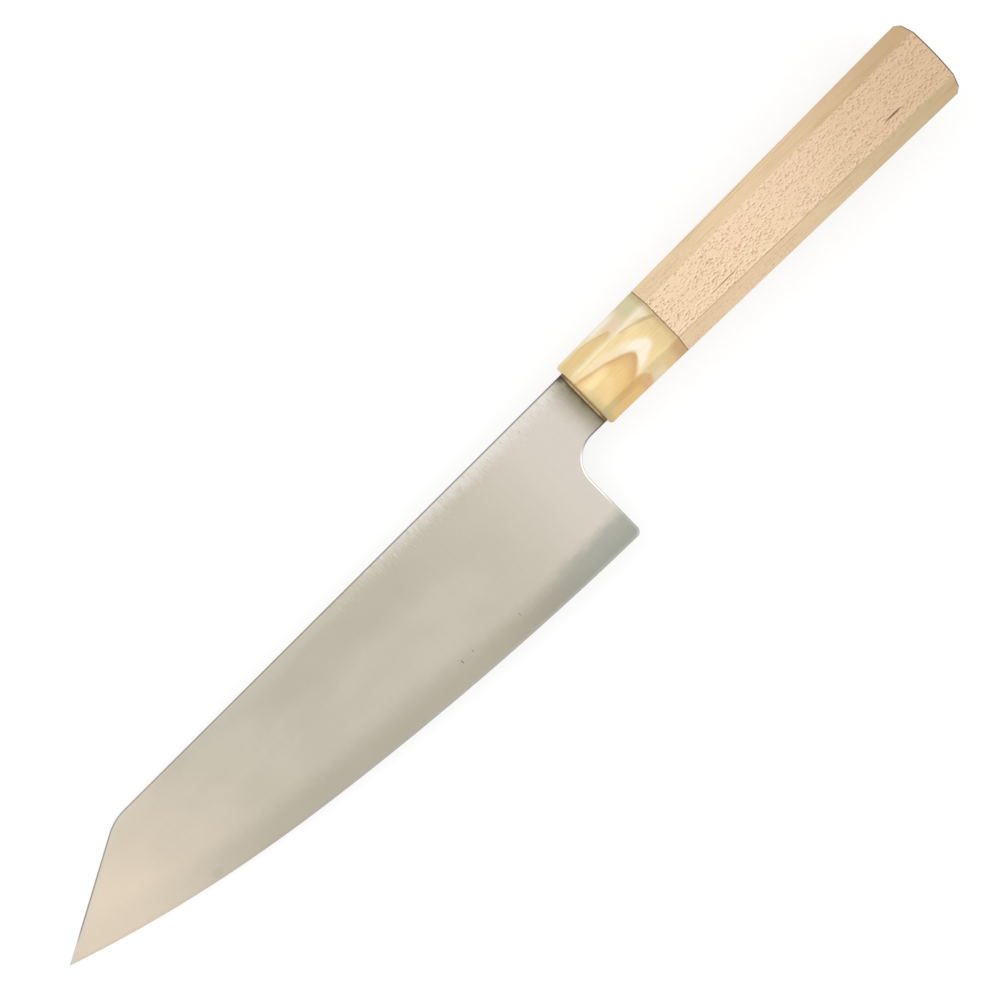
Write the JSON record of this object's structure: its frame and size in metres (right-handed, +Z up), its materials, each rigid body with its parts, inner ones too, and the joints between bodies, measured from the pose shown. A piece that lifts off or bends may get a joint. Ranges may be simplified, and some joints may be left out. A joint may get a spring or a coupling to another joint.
{
  "type": "kiritsuke knife",
  "caption": "Kitchen knife with a tall clipped-point double-bevelled blade and an octagonal wooden handle with a horn ferrule, lying on its side.",
  "frame": {"origin": "on the table, under the middle of the knife's box, as it lies on its side", "axes": "+X along the handle to the butt, +Y from the cutting edge to the spine, +Z up from the table; the knife leans forward on the ferrule's lower front edge and the blade's point, so the blade's plane is 2.22 degrees off level"},
  "size_m": [0.3622, 0.0534, 0.0246],
  "materials": {
    "steel": "satin, fine scratches across the blade, hazier along the edge",
    "seal": "matte tan sealing compound",
    "horn": "polished blond horn, marbled cream and amber",
    "glue": "dark set glue",
    "beech": "oiled beech with ray flecks",
    "core_wood": "plain dowel wood",
    "adhesive": "set epoxy"
  },
  "bodies": {
    "root": {"blade": "steel", "mouth_seal": "seal", "ferrule": "horn", "glue_line": "glue", "handle_body": "beech", "core_half_upper": "core_wood", "core_half_lower": "core_wood", "tang_bond": "adhesive"}
  },
  "joints": []
}
